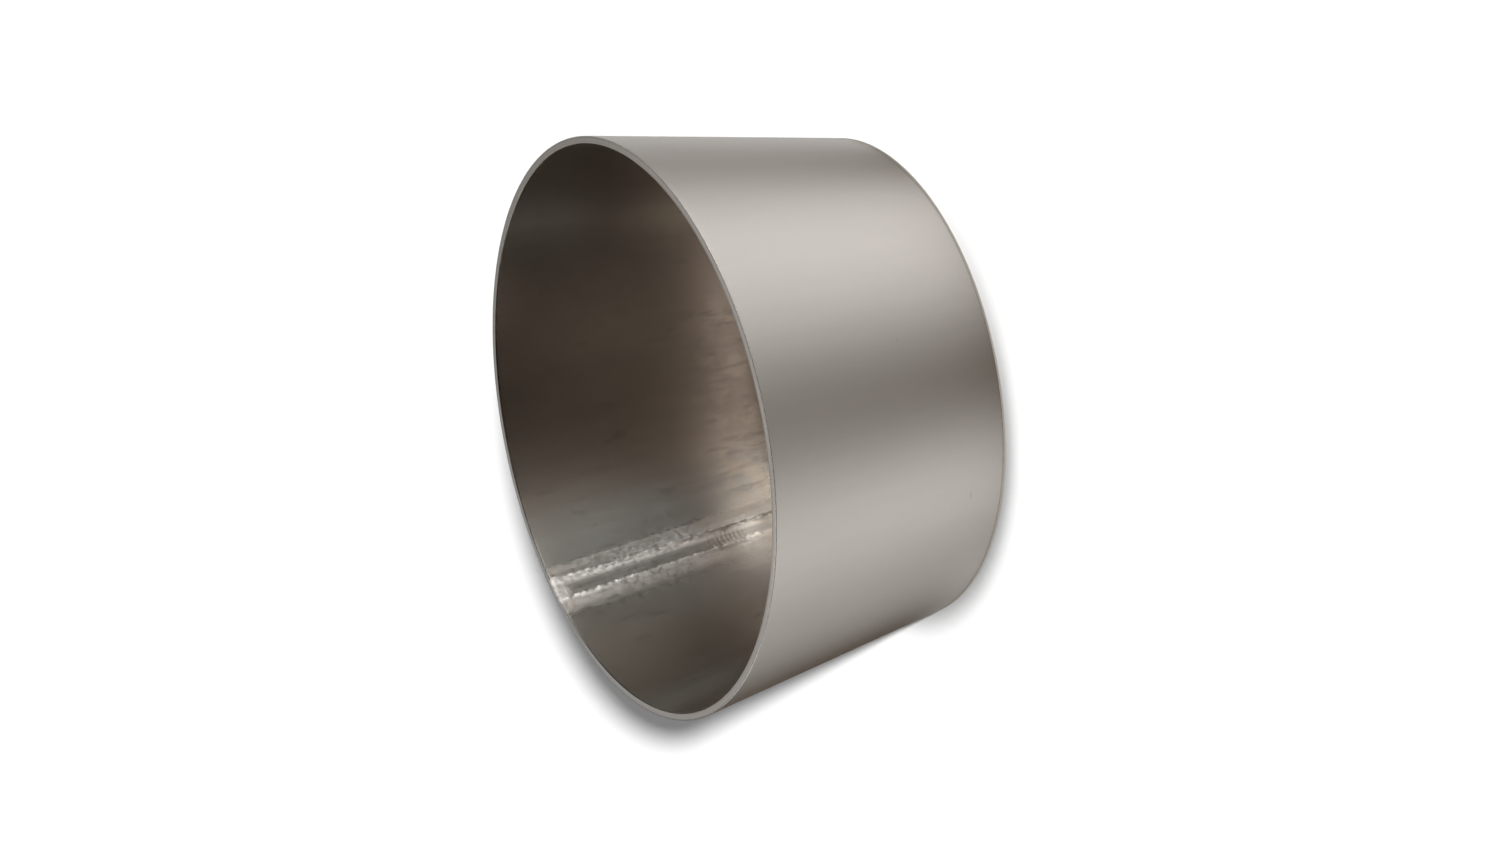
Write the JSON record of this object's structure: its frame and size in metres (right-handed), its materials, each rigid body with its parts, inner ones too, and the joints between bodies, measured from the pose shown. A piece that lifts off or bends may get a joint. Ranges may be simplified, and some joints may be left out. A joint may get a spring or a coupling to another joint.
{
  "type": "conical tube reducer",
  "caption": "Short thin-walled straight cone, open at both ends, with one welded seam inside, that joins a larger round tube to a smaller one.",
  "frame": {"origin": "centre of the small end's face, on the cone's axis, at the part's lowest point", "axes": "+Z along the axis from the small end up to the large end; +Y from the axis through the middle of the welded seam"},
  "size_m": [0.0761, 0.0762, 0.0372],
  "materials": {
    "titanium": "satin, fine brushed, warm grey"
  },
  "bodies": {
    "root": {"reducer_cone": "titanium"}
  },
  "joints": []
}
